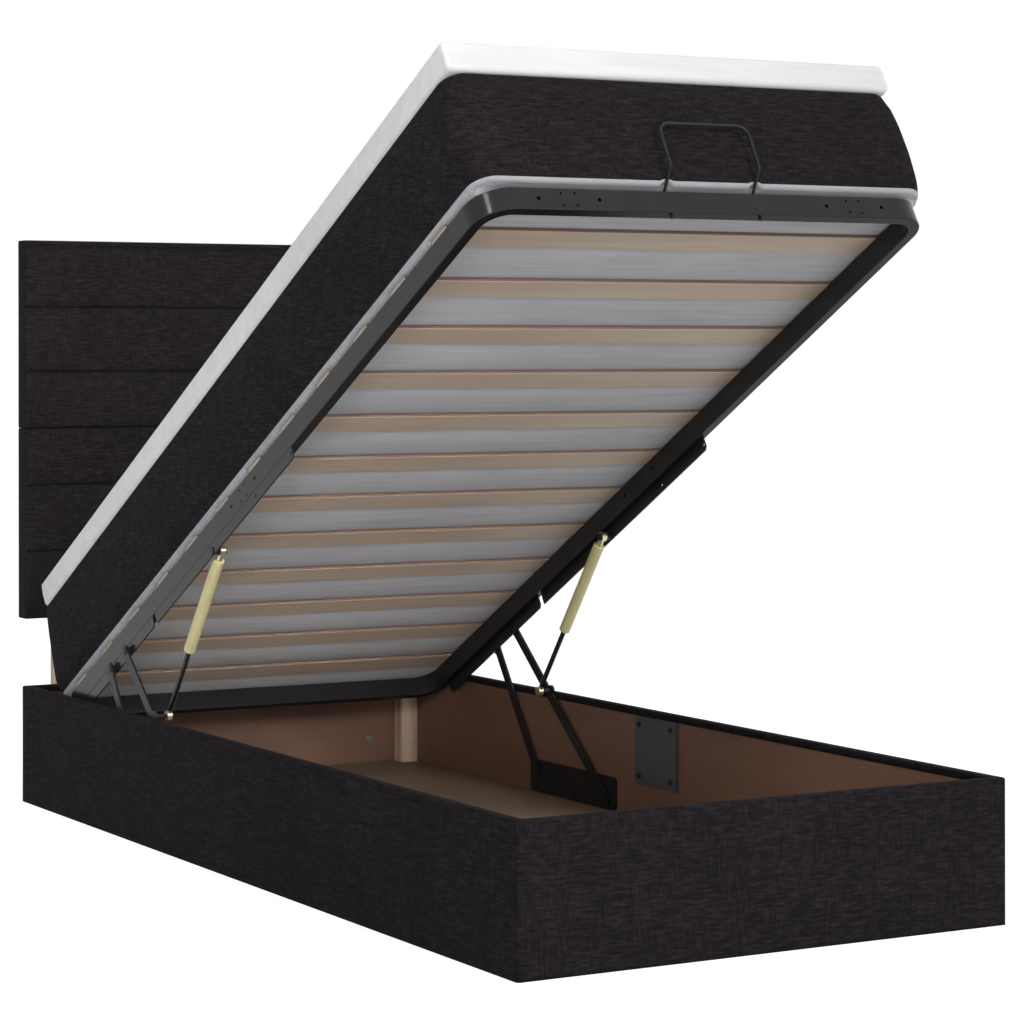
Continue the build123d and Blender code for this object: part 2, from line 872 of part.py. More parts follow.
def pull_handle():
    """Bent round bar through the foot rail."""
    side = [
        (handle_leg_run, -handle_stub),
        (handle_leg_run, rail_height + handle_bend_start),
        (handle_kink_run, handle_kink_rise),
        (handle_top_run, handle_top_rise),
    ]
    left = [(-handle_half_width, run, rise) for run, rise in side]
    right = [(handle_half_width, run, rise) for run, rise in side]
    bends = [handle_foot_bend, handle_kink_bend, handle_top_bend]
    path = FilletPolyline(*left, *reversed(right), radius=bends + bends[::-1])
    start = Plane(origin=path @ 0, z_dir=path % 0)
    return sweep(start * Circle(handle_radius), path=path)


# Gas struts, drawn along +Y from the upper pin


def on_strut(shape):
    """Place a strut piece between its two pins."""
    return Location((0, *strut_pin), (strut_angle, 0, 0)) * shape


def cylinder_tube():
    """Pressure tube with its closed end, bore and rod guide."""
    tube = pin_y(strut_neck_length, cylinder_end, strut_offset, 0, cylinder_radius)
    rims = tube.edges().filter_by(GeomType.CIRCLE)
    tube = fillet(rims, cover_edge_radius * half)
    bore_start = strut_neck_length + cylinder_cap
    bore_end = cylinder_end - cylinder_guide
    tube -= pin_y(bore_start, bore_end, strut_offset, 0, cylinder_bore_radius)
    tube -= pin_y(bore_end, cylinder_end, strut_offset, 0, rod_radius + running_fit)
    return on_strut(tube)


def strut_eye(at, hole, neck_radius, direction, neck):
    """Flat eye with its threaded neck."""
    r = strut_eye_thickness * half
    disc = pin_x(strut_offset - r, strut_offset + r, at, 0, strut_eye_radius)
    a, b = sorted((at, at + direction * neck))
    stem = pin_y(a, b, strut_offset, 0, neck_radius)
    flat = block(strut_offset - r, strut_offset + r, a, b, -neck_radius, neck_radius)
    bore = pin_x(strut_offset - neck_radius, strut_offset + neck_radius, at, 0, hole)
    neck_stem = stem - pin_x(
        strut_offset - neck_radius, strut_offset + neck_radius, at, 0, strut_eye_radius
    )
    return disc + (flat & stem) + neck_stem - bore


def upper_eye():
    """Zinc eye on the closed end of the cylinder."""
    eye = strut_eye(0, pivot_radius + running_fit, strut_neck_radius, 1, strut_neck_length)
    return on_strut(eye)


def lower_eye():
    """Zinc eye on the end of the rod."""
    eye = strut_eye(strut_span, pivot_radius + running_fit, rod_neck_radius, -1, rod_neck)
    return on_strut(eye)


def piston_rod():
    """Rod with the piston that runs in the cylinder."""
    rod = pin_y(rod_start, strut_span - rod_neck, strut_offset, 0, rod_radius)
    piston = pin_y(
        rod_start, rod_start + piston_length, strut_offset, 0, cylinder_bore_radius - running_fit
    )
    return on_strut(rod + piston)


# Mattress and topper, in platform coordinates


def mattress():
    """Mattress with rounded corners, softened edges and a slightly full border."""
    bottom = rail_height + slat_thickness + soft_gap
    mid_y = mattress_start + mattress_length * half
    sections = []
    for share, inset in ((0, mattress_bulge), (half, 0), (1, mattress_bulge)):
        width = mattress_width - inset - inset
        length = mattress_length - inset - inset
        rounded = RectangleRounded(width, length, mattress_corner_radius)
        sections.append(Pos(0, mid_y, bottom + share * mattress_rise) * rounded)
    body = loft(sections)
    body = fillet(body.edges().group_by(Axis.Z)[0], mattress_lower_radius)
    return fillet(body.edges().group_by(Axis.Z)[-1], mattress_upper_radius)


def topper_section(width):
    """Section of the topper: rolled lower corners and a crowned top."""
    reach = width * half
    edge = topper_edge_rise
    sides = [
        ThreePointArc((-reach, edge), (0, edge + topper_crown), (reach, edge)),
        Polyline((reach, edge), (reach, 0), (-reach, 0), (-reach, edge)),
    ]
    section = make_face(Curve() + sides)
    rows = section.vertices().group_by(Axis.Y)
    section = fillet(rows[0], topper_lower_radius)
    return fillet(section.vertices().group_by(Axis.Y)[-1], topper_upper_radius)


def topper():
    """Topper crowned both ways, with neat upright corners."""
    bottom = rail_height + slat_thickness + soft_gap + mattress_rise + soft_gap
    outline = RectangleRounded(topper_width, topper_length, topper_corner_radius)
    body = extrude(outline, topper_edge_rise + topper_crown)
    body &= extrude(Plane.XZ * topper_section(topper_width), topper_length * half, both=True)
    body &= extrude(Plane.YZ * topper_section(topper_length), topper_width * half, both=True)
    return Pos(0, topper_start + topper_length * half, bottom) * body


# Nodes

seam = seam_y()
y_in_foot = y_foot + wall
y_in_head = y_head - wall
half_foot = side_board(y_in_foot, seam)
half_head = side_board(seam, y_in_head)

nodes = {
    "cover_side_right": side_cover(),
    "cover_side_left": other_side(side_cover()),
    "cover_foot": end_cover(y_foot, 1),
    "cover_head": head_cover(),
    "board_right_foot": half_foot,
    "board_right_head": half_head,
    "board_left_foot": other_side(half_foot),
    "board_left_head": other_side(half_head),
    "board_foot": end_board(y_foot, 1),
    "board_head": head_board(),
    "corner_posts": both_sides([corner_post(-1), corner_post(1)]),
    "corner_screws": corner_screws(),
    "rest_buffers": rest_buffers(),
    "joint_plates": both_sides([joint_plate()]),
    "joint_bolts": joint_bolts(),
    "side_dowels": side_dowels(),
    "floor_ledges": both_sides([ledge()]),
    "floor_bearer": floor_bearer(),
    "floor_board_foot": floor_board(-1),
    "floor_board_head": floor_board(1),
    "headboard_lower": headboard_panel(
        headboard_bottom, headboard_join - panel_clearance * half, lower_seams
    ),
    "headboard_upper": headboard_panel(
        headboard_join + panel_clearance * half, headboard_top, upper_seams
    ),
    "headboard_posts": Compound(children=[headboard_post(x) for x in post_centres()]),
    "headboard_bolts": headboard_bolts(),
    "headboard_screws": headboard_screws(),
    "base_plates": both_sides([base_plate()]),
    "plate_bolts": plate_bolts(),
    "base_pivots": base_pivots(),
    "front_link_right": front_link(),
    "front_link_left": other_side(front_link()),
    "rear_links": both_sides([rear_link()]),
    "strut_studs": strut_studs(),
    "frame_tube": on_platform * frame_tube(),
    "strut_brackets": on_platform * both_sides([strut_bracket()]),
    "link_brackets": on_platform * both_sides([link_bracket()]),
    "link_pins": on_platform * link_pins(),
    "strut_pins": on_platform * strut_pins(),
    "slat_screws": on_platform * slat_screws(),
    "pull_handle": on_platform * pull_handle(),
    "strut_cylinder_right": cylinder_tube(),
    "strut_cylinder_left": other_side(cylinder_tube()),
    "strut_upper_eyes": both_sides([upper_eye()]),
    "strut_rod_right": piston_rod(),
    "strut_rod_left": other_side(piston_rod()),
    "strut_lower_eyes": both_sides([lower_eye()]),
    "mattress": on_platform * mattress(),
    "topper": on_platform * topper(),
}
for number in range(slat_count):
    nodes[f"slat_{number + 1:02d}"] = on_platform * slat(number)

os.makedirs("parts", exist_ok=True)
for name, shape in nodes.items():
    export_step(shape, f"parts/{name}.step")
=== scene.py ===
from math import cos, pi, radians, sin, sqrt

import bpy
import numpy as np
from mathutils import Matrix, Vector, noise


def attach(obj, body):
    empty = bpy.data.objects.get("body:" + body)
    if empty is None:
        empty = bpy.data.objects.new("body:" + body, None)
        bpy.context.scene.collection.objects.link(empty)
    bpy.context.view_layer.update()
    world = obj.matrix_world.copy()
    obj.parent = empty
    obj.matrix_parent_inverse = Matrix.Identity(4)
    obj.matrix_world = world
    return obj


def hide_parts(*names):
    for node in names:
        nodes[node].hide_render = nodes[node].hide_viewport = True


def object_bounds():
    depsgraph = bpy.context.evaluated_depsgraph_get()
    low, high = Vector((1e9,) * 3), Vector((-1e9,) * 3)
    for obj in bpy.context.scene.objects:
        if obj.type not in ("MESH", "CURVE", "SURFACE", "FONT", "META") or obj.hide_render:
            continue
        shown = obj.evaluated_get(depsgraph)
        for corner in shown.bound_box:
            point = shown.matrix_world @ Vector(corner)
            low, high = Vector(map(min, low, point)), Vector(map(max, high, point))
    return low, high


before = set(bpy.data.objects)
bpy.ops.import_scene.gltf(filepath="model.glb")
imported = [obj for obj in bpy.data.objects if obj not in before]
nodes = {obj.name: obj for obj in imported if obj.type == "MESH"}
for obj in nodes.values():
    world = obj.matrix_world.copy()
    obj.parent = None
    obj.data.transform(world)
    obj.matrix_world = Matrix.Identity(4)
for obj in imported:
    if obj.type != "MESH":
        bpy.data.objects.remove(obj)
cad_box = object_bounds()

# Sizes are in metres. The base and the headboard have the solids' outer sizes, and the mattress
# and the topper are shaped after the photo. LUMPS are a ripple's lump size and seed.
HALF = 0.5

# Base upholstery
HEAD_FACE = cad_box[1][1] - 0.0605
FOOT_FACE = cad_box[0][1]
BASE_HALF_WIDTH = 0.465
BASE_HEIGHT = 0.241
COVER_THICKNESS = 0.002
COVER_WALL = 0.020
COVER_TURN_IN = 0.013
COVER_CORNER = 0.006
COVER_INNER_CORNER = 0.0004
COVER_RIM = 0.004
COVER_PITCH = 0.02
COVER_ARC = 6
COVER_WALL_ROWS = (0.04, 0.12, 0.25, 0.4, 0.55, 0.7, 0.82, 0.9, 0.95)
COVER_RIM_ROWS = (0.4, 0.6)
COVER_RIPPLED_ARC_ROWS = 3
COVER_SETTLE = 0.0005
COVER_BROAD_RIPPLE = 0.0006
COVER_BROAD_LUMPS = (0.13, 11)
COVER_LUMP_SQUEEZE = 1.5
COVER_FINE_RIPPLE = 0.0003
COVER_FINE_LUMPS = (0.045, 13)
FOLD_INSET = 0.009
FOLD_HEIGHT = 0.0012
FOLD_WIDTH = 0.0016
ON_FACE = 0.001

# Headboard: panels and seams by height, channels rounded between the seams
HEADBOARD_HALF_WIDTH = 0.450
HEADBOARD_THICKNESS = 0.050
HEADBOARD_BACK = cad_box[1][1]
HEADBOARD_BACK_STEP = 0.003
HEADBOARD_BACK_EDGE = 0.003
HEADBOARD_EDGE = 0.009
HEADBOARD_CORNER = 0.003
HEADBOARD_PITCH = (0.012, 0.010)
HEADBOARD_ROWS = 4
HEADBOARD_LINES = (0.0005, 0.0015, 0.003, 0.005, 0.0075, 0.010, 0.014)
SEAM_LINES = (0, 0.0008, 0.0018, 0.0032, 0.005, 0.0075, 0.011)
LOWER_PANEL = (0.378, 0.77785)
UPPER_PANEL = (0.77815, 1.173)
LOWER_SEAMS = (0.5188, 0.6579)
UPPER_SEAMS = (0.8961, 1.0321, 1.1596)
CHANNEL_ROUND = 0.0028
CHANNEL_END_SHARE = 0.35
CREASE_DEPTH = 0.0062
CREASE_WIDTH = 0.0026
CREASE_END = 0.006
PUCKER_HEIGHT = 0.0009
PUCKER_LUMPS = (0.018, 2)
PUCKER_REACH = 0.014
PANEL_RIPPLE = 0.0007
PANEL_LUMPS = (0.10, 4)
PANEL_LUMP_SQUEEZE = 1.6
PANEL_SETTLE = 0.0008
PANEL_FADE = 0.02

# Platform: its tilt as stored, and where its run and rise start in y and z
PLATFORM_TILT = radians(29.68)
PLATFORM_ORIGIN = (-0.898173, 1.159718)
ALONG_PLATFORM = (0, cos(PLATFORM_TILT), -sin(PLATFORM_TILT))
OUT_OF_PLATFORM = (0, sin(PLATFORM_TILT), cos(PLATFORM_TILT))
SOFT_BOTTOM = 0.0483
SLAT_COUNT = 12
SLAT_FIRST_RUN = 0.128
SLAT_PITCH = 0.1555
SLAT_WIDTH = 0.053

# Mattress: bulges of its foot and head walls by height share, sag between the slats, and the
# dents over the legs of the pull handle
MATTRESS_WIDTH = 0.873
MATTRESS_LENGTH = 1.990
MATTRESS_START = -0.0065
MATTRESS_RISE = 0.2032
MATTRESS_CORNER = 0.040
MATTRESS_LOWER_EDGE = 0.0072
MATTRESS_UPPER_EDGE = 0.010
MATTRESS_PITCH = 0.03
MATTRESS_ROWS = 16
# Width round the underside's rim that gets painted shade
RIM_SHADE_WIDTH = 0.009
WALL_SHARES = (0, 0.05, 0.15, 0.4, 0.7, 0.87, 1)
FOOT_BULGE = (0, 0.003, 0.0062, 0.0092, 0.0092, 0.0065, 0)
HEAD_BULGE = (0, 0.0045, 0.0092, 0.0075, 0.0045, 0.002, 0)
WALL_RIPPLE = 0.0007
WALL_LUMPS = (0.11, 3)
WALL_LUMP_RISE = 0.2
SAG_DEPTH = 0.0068
SAG_POWER = 0.4
SAG_START = 0.001
SAG_REACH = 0.012
SLAT_LINES = (0, 0.002, 0.006, 0.014)
HANDLE_LEG = 0.0857
HANDLE_LINES = (0, 0.003, 0.006, 0.009, 0.013)
LEG_DENT = 0.0075
LEG_DENT_WIDTH = 0.012
LEG_DENT_LENGTH = 0.022
LEG_DENT_REACH = 0.008
CORNER_LINES = (0.0005, 0.0015, 0.003, 0.005, 0.0075, 0.0105, 0.015, 0.02, 0.026, 0.032, 0.038)

# Topper
TOPPER_WIDTH = 0.867
TOPPER_LENGTH = 1.973
TOPPER_START = -0.010
TOPPER_BOTTOM = 0.2518
TOPPER_RISE = 0.052
TOPPER_CROWN = 0.003
TOPPER_CORNER = 0.007
TOPPER_LOWER_EDGE = 0.010
TOPPER_UPPER_EDGE = 0.005
TOPPER_PITCH = 0.022
TOPPER_ROWS = 7
TOPPER_LINES = CORNER_LINES[:8]
TOPPER_BULGE = 0.0012
TOPPER_SETTLE = 0.0006
TOPPER_RIPPLE = 0.0006
TOPPER_WALL_LUMPS = (0.09, 7)
TOPPER_FACE_LUMPS = (0.16, 5)

# The photo's camera
CAMERA_PLACE = (-2.7051, -4.8246, 0.9408)
CAMERA_YAW = radians(28.4238)
CAMERA_ROLL = radians(-0.068)
CAMERA_LENS = 103.863
CAMERA_SENSOR = 36.0
CAMERA_SHIFT = (0.10787, -0.15784)
CAMERA_REACH = 100

# Sky, floor and soft boxes: name, place, aim, width, height, power and beam in degrees
SKY_STRENGTH = 0.42
FLOOR_REACH = 9.0
FLOOR_GLOW = 0.89
FLOOR_SHADE = 0.36
FLOOR_BOUNCE = 0.8
LAMPS = (
    ("key", (2.6, -9.0, 5.0), (0, -0.2, 0.6), 4.5, 4.5, 420, 180),
    ("left", (-4.0, -4.2, 1.4), (-0.2, 0.6, 0.5), 1.6, 1.6, 32, 180),
    ("headboard", (-3.0, -4.5, 2.2), (-0.4, 1.0, 0.75), 1.0, 1.0, 3.6, 24),
    ("strip", (-3.3, -1.7, 3.8), (-0.4, -0.87, 1.16), 0.32, 1.6, 0.5, 12),
    ("underside", (-0.4, -5.0, 0.35), (0, 0.7, 0.42), 1.0, 1.0, 0.8, 30),
    ("inside", (0, 0.25, 0.1), (0, 0.2, 1), 0.7, 0.7, 0.3, 180),
)

# Noise lumps per metre along x, y and z; along the platform for the slats and the cloths
LINEN_LEVEL_SLUBS = (40, 40, 265)
LINEN_UPRIGHT_SLUBS = (240, 240, 42)
LINEN_LEVEL_THREADS = (150, 150, 1100)
LINEN_UPRIGHT_THREADS = (1000, 1000, 150)
LINEN_PATCHES = (22, 22, 16)
LINEN_CLOUD = (6, 6, 8)
PAINT_SKIN = (900, 900, 900)
PAINT_CLOUD = (14, 5, 14)
PAINT_SCUFFS = (260, 34, 420)
STEEL_BRUSHING = (1500, 90, 90)
STEEL_BLOTCHES = (90, 90, 90)
BIRCH_GRAIN = (5, 260, 120)
BIRCH_BANDS = (2.2, 30, 12)
BIRCH_PORES = (40, 1500, 500)
BIRCH_PLIES = (0.6, 0.6, 98)
BOARD_FIBRES = (180, 60, 420)
BOARD_CLOUD = (6, 2.5, 9)
BOARD_SPECKS = (900, 900, 900)
PINE_GRAIN_TIMES = 9
RUBBER_BLOOM = (120, 120, 120)
CLOTH_THREADS = (900, 900, 900)
CLOTH_CLOUD = (4, 6, 6)
CLOTH_RIBS_ACROSS = 6

# Spans of a noise, or of a cosine to the platform's directions, over which an effect grows,
# and the shares that it reaches
NOISE_SPAN = (0.2, 0.8)
LINEN_PATCH_SPAN = (0.42, 0.6)
LINEN_UPRIGHT_SHARES = (0.16, 0.54)
PAINT_CLOUD_SPAN = (0.3, 0.7)
PAINT_CLOUD_SHARE = 0.35
PAINT_SCUFF_SPAN = (0.66, 0.74)
PAINT_SCUFF_SHARE = 0.35
UNDERSIDE_SPAN = (-0.97, -0.85)
STEEL_BLOTCH_SPAN = (0.35, 0.7)
STEEL_BRUSHING_SPREAD = 0.1
BIRCH_PORE_SPAN = (0.62, 0.78)
BIRCH_PORE_SHARE = 0.25
BIRCH_PLY_SPAN = (0.35, 0.65)
BIRCH_EDGE_SPAN = (0.75, 0.9)
BOARD_SPECK_SPAN = (0.6, 0.72)
BOARD_SPECK_SHARE = 0.4

# Colours that belong to a kind of material, as ramp stops or alone
# Painted shade: the dark colour that paint takes on faces under the platform
PAINTED_SHADE_BENEATH = (0.004, 0.004, 0.0045)
BIRCH_FACE = ((0.3, (0.44, 0.335, 0.25)), (0.5, (0.52, 0.41, 0.32)), (0.7, (0.59, 0.48, 0.385)))
BIRCH_PORE = (0.38, 0.27, 0.19)
BIRCH_EDGE = ((0.20, 0.12, 0.09), (0.31, 0.205, 0.155))
BOARD_SPECK = (0.03, 0.018, 0.012)
PINE_TONES = ((0.25, (0.42, 0.28, 0.19)), (0.55, (0.56, 0.41, 0.30)), (0.8, (0.64, 0.50, 0.39)))
RUBBER_TONES = ((0.35, (0.012, 0.012, 0.012)), (0.7, (0.03, 0.03, 0.03)))


# Node materials


class Look:
    """A node material that is being put together."""

    def __init__(self, name):
        self.material = bpy.data.materials.new(name)
        self.material.use_nodes = True
        self.tree = self.material.node_tree
        self.shader = self.tree.nodes["Principled BSDF"]

    def node(self, kind, **settings):
        made = self.tree.nodes.new(kind)
        for key, value in settings.items():
            setattr(made, key, value)
        return made

    def join(self, source, target):
        self.tree.links.new(source, target)

    def set(self, **values):
        for key, value in values.items():
            self.shader.inputs[key.replace("_", " ")].default_value = value

    def place(self, scale, slip=(0, 0, 0), tilted=False):
        """Object coordinates, along the platform where tilted, times a scale."""
        coordinates = self.node("ShaderNodeTexCoord").outputs["Object"]
        if tilted:
            turn = self.node("ShaderNodeMapping")
            turn.inputs["Rotation"].default_value = (PLATFORM_TILT, 0, 0)
            y, z = PLATFORM_ORIGIN
            c, s = cos(PLATFORM_TILT), sin(PLATFORM_TILT)
            turn.inputs["Location"].default_value = (0, -(y * c - z * s), -(y * s + z * c))
            self.join(coordinates, turn.inputs["Vector"])
            coordinates = turn.outputs["Vector"]
        stretch = self.node("ShaderNodeMapping")
        stretch.inputs["Scale"].default_value = scale
        stretch.inputs["Location"].default_value = slip
        self.join(coordinates, stretch.inputs["Vector"])
        return stretch.outputs["Vector"]

    def texture(self, kind, vector, values, **settings):
        made = self.node(kind, **settings)
        made.inputs["Scale"].default_value = 1.0
        for name, value in values.items():
            made.inputs[name].default_value = value
        self.join(vector, made.inputs["Vector"])
        return made.outputs["Fac"]

    def noise(self, vector, detail=2.0, roughness=0.5, distortion=0.0):
        values = {"Detail": detail, "Roughness": roughness, "Distortion": distortion}
        return self.texture("ShaderNodeTexNoise", vector, values)

    def facing(self, direction):
        """Cosine between the surface's normal at rest and a direction."""
        made = self.node("ShaderNodeVectorMath", operation="DOT_PRODUCT")
        made.inputs[1].default_value = direction
        self.join(self.node("ShaderNodeTexCoord").outputs["Normal"], made.inputs[0])
        return made.outputs["Value"]

    def feed(self, sockets, values):
        """Numbers, colours and outputs into sockets."""
        for socket, value in zip(sockets, values):
            if isinstance(value, (int, float)):
                socket.default_value = value
            elif isinstance(value, tuple):
                socket.default_value = (*value, 1.0)
            else:
                self.join(value, socket)

    def math(self, operation, first, second=0.0):
        made = self.node("ShaderNodeMath", operation=operation)
        self.feed(made.inputs, (first, second))
        return made.outputs[0]

    def total(self, *parts):
        """Sum of sources times their weights."""
        first, *others = [self.math("MULTIPLY", source, weight) for source, weight in parts]
        for other in others:
            first = self.math("ADD", first, other)
        return first

    def mix(self, factor, first, second):
        made = self.node("ShaderNodeMix", data_type="RGBA")
        self.feed((made.inputs[0], made.inputs[6], made.inputs[7]), (factor, first, second))
        return made.outputs[2]

    def ramp(self, factor, stops):
        made = self.node("ShaderNodeValToRGB")
        band = made.color_ramp
        while len(band.elements) < len(stops):
            band.elements.new(1.0)
        for element, (at, colour) in zip(band.elements, stops):
            element.position = at
            element.color = (*colour, 1.0)
        self.join(factor, made.inputs["Fac"])
        return made.outputs["Color"]

    def range(self, value, low, high, to_low=0.0, to_high=1.0):
        made = self.node("ShaderNodeMapRange")
        self.feed(list(made.inputs)[:5], (value, low, high, to_low, to_high))
        return made.outputs["Result"]

    def colour(self, source):
        self.join(source, self.shader.inputs["Base Color"])

    def rough(self, source, low, high):
        """Roughness between two values, from a noise."""
        spread = self.range(source, *NOISE_SPAN, low, high)
        self.join(spread, self.shader.inputs["Roughness"])

    def bump(self, height, distance, strength):
        made = self.node("ShaderNodeBump")
        made.inputs["Strength"].default_value = strength
        made.inputs["Distance"].default_value = distance
        self.join(height, made.inputs["Height"])
        self.join(made.outputs["Normal"], self.shader.inputs["Normal"])


def linen(name, dark, middle, light):
    """Slubbed linen weave: short thick threads, mostly level, over a fine thread pitch."""
    look = Look(name)
    level = look.noise(look.place(LINEN_LEVEL_SLUBS))
    upright = look.noise(look.place(LINEN_UPRIGHT_SLUBS, slip=(3, 5, 7)))
    fine_level = look.noise(look.place(LINEN_LEVEL_THREADS, slip=(1, 2, 3)), detail=1.0)
    fine_upright = look.noise(look.place(LINEN_UPRIGHT_THREADS, slip=(9, 4, 2)), detail=1.0)
    patches = look.noise(look.place(LINEN_PATCHES, slip=(5, 1, 8)))
    cloud = look.noise(look.place(LINEN_CLOUD))
    crossing = look.range(patches, *LINEN_PATCH_SPAN, *LINEN_UPRIGHT_SHARES)
    crossed = look.math("MULTIPLY", look.math("SUBTRACT", upright, level), crossing)
    slubs = look.math("ADD", crossed, level)
    threads = look.math("MULTIPLY", look.math("ADD", fine_level, fine_upright), HALF)
    tone = look.total((slubs, 0.74), (threads, 0.16), (cloud, 0.1))
    look.colour(look.ramp(tone, ((0.38, dark), (0.5, middle), (0.62, light))))
    look.set(Roughness=0.95, Specular_IOR_Level=0.07)
    look.bump(tone, distance=0.0015, strength=0.5)
    return look.material


def satin_paint(name, colour, worn, roughness, gloss=0.4, under=1.0):
    """Powder coat with a fine skin and faint scuffs. Under is the share of its colour and gloss
    that faces
    under the platform keep: painted shade there, a darker colour and a weaker reflection."""
    look = Look(name)
    skin = look.noise(look.place(PAINT_SKIN), roughness=0.6)
    cloud = look.noise(look.place(PAINT_CLOUD), detail=3.0, roughness=0.55)
    scuffs = look.noise(look.place(PAINT_SCUFFS), detail=4.0, roughness=0.7)
    clouded = look.range(cloud, *PAINT_CLOUD_SPAN, to_high=PAINT_CLOUD_SHARE)
    marks = look.math("MULTIPLY", look.range(scuffs, *PAINT_SCUFF_SPAN), PAINT_SCUFF_SHARE)
    base = look.mix(marks, look.mix(clouded, colour, worn), worn)
    # Painted shade: faces under the platform get a darker colour and less gloss
    if under < 1.0:
        shade_beneath = look.range(look.facing(OUT_OF_PLATFORM), *UNDERSIDE_SPAN, 1.0 - under, 0.0)
        base = look.mix(shade_beneath, base, PAINTED_SHADE_BENEATH)
        shine = look.range(shade_beneath, 0.0, 1.0, gloss, 0.0)
        look.join(shine, look.shader.inputs["Specular IOR Level"])
    else:
        look.set(Specular_IOR_Level=gloss)
    look.colour(base)
    look.rough(cloud, roughness - 0.06, roughness + 0.08)
    look.bump(skin, distance=0.0003, strength=0.2)
    return look.material


def plated_steel(name, bright, dull, roughness):
    """Plated or blackened steel: brushed, a little blotched."""
    look = Look(name)
    brushing = look.noise(look.place(STEEL_BRUSHING), detail=3.0, roughness=0.6)
    blotches = look.noise(look.place(STEEL_BLOTCHES), detail=3.0, roughness=0.6)
    look.colour(look.mix(look.range(blotches, *STEEL_BLOTCH_SPAN), bright, dull))
    look.rough(brushing, roughness - STEEL_BRUSHING_SPREAD, roughness + STEEL_BRUSHING_SPREAD)
    look.set(Metallic=0.9)
    look.bump(brushing, distance=0.0002, strength=0.4)
    return look.material


def birch(name):
    """Birch slat: long grain across the bed, ply lines on its edges."""
    look = Look(name)
    grain = look.noise(look.place(BIRCH_GRAIN, tilted=True), detail=5.0, roughness=0.62,
                       distortion=0.4)
    bands = look.noise(look.place(BIRCH_BANDS, tilted=True))
    pores = look.noise(look.place(BIRCH_PORES, tilted=True))
    face = look.ramp(look.total((grain, 0.6), (bands, 0.4)), BIRCH_FACE)
    pitted = look.range(pores, *BIRCH_PORE_SPAN, to_high=BIRCH_PORE_SHARE)
    face = look.mix(pitted, face, BIRCH_PORE)
    plies = look.texture("ShaderNodeTexWave", look.place(BIRCH_PLIES, tilted=True),
                         {"Distortion": 0.6}, wave_type="BANDS", bands_direction="Z")
    edge = look.mix(look.range(plies, *BIRCH_PLY_SPAN), *BIRCH_EDGE)
    on_edge = look.range(look.math("ABSOLUTE", look.facing(ALONG_PLATFORM)), *BIRCH_EDGE_SPAN)
    look.colour(look.mix(on_edge, face, edge))
    look.rough(grain, 0.42, 0.6)
    look.bump(grain, distance=0.0004, strength=0.3)
    return look.material


def hardboard(name, dark, light):
    """Brown fibreboard with fibres, dark specks and a faint pressed sheen."""
    look = Look(name)
    fibres = look.noise(look.place(BOARD_FIBRES), detail=4.0, roughness=0.65)
    cloud = look.noise(look.place(BOARD_CLOUD), detail=3.0, roughness=0.55)
    specks = look.noise(look.place(BOARD_SPECKS), detail=1.0)
    base = look.ramp(look.total((fibres, 0.45), (cloud, 0.55)), ((0.34, dark), (0.66, light)))
    specked = look.range(specks, *BOARD_SPECK_SPAN, to_high=BOARD_SPECK_SHARE)
    look.colour(look.mix(specked, base, BOARD_SPECK))
    look.rough(fibres, 0.5, 0.68)
    look.bump(fibres, distance=0.0004, strength=0.35)
    return look.material


def pine(name, scale):
    """Planed softwood with its grain along the direction of the smallest scale."""
    look = Look(name)
    rings = look.texture("ShaderNodeTexWave", look.place(scale), {"Distortion": 5.0, "Detail": 3.0},
                         wave_type="RINGS", rings_direction="SPHERICAL")
    finer = tuple(value * PINE_GRAIN_TIMES for value in scale)
    grain = look.noise(look.place(finer), detail=4.0, roughness=0.6)
    look.colour(look.ramp(look.total((rings, 0.45), (grain, 0.55)), PINE_TONES))
    look.rough(grain, 0.5, 0.7)
    look.bump(grain, distance=0.0004, strength=0.4)
    return look.material


def rubber(name):
    """Moulded black rubber with a dusty bloom."""
    look = Look(name)
    bloom = look.noise(look.place(RUBBER_BLOOM), detail=3.0, roughness=0.6)
    look.colour(look.ramp(bloom, RUBBER_TONES))
    look.rough(bloom, 0.6, 0.85)
    look.bump(bloom, distance=0.0003, strength=0.3)
    return look.material


def pale_cloth(name, shade, clean, rib):
    """Ticking: fine ribs across the bed over soft clouds."""
    look = Look(name)
    ribs = look.noise(look.place((CLOTH_RIBS_ACROSS, rib, rib), tilted=True))
    threads = look.noise(look.place(CLOTH_THREADS, tilted=True))
    cloud = look.noise(look.place(CLOTH_CLOUD, tilted=True), detail=3.0)
    tone = look.total((ribs, 0.4), (cloud, 0.35), (threads, 0.25))
    look.colour(look.ramp(tone, ((0.35, shade), (0.6, clean))))
    look.set(Roughness=0.9, Specular_IOR_Level=0.15, Sheen_Weight=0.03)
    look.bump(tone, distance=0.0010, strength=0.4)
    return look.material


charcoal = linen("charcoal_linen", dark=(0.0092, 0.0076, 0.0090),
                 middle=(0.0153, 0.0129, 0.0152), light=(0.0258, 0.0220, 0.0255))
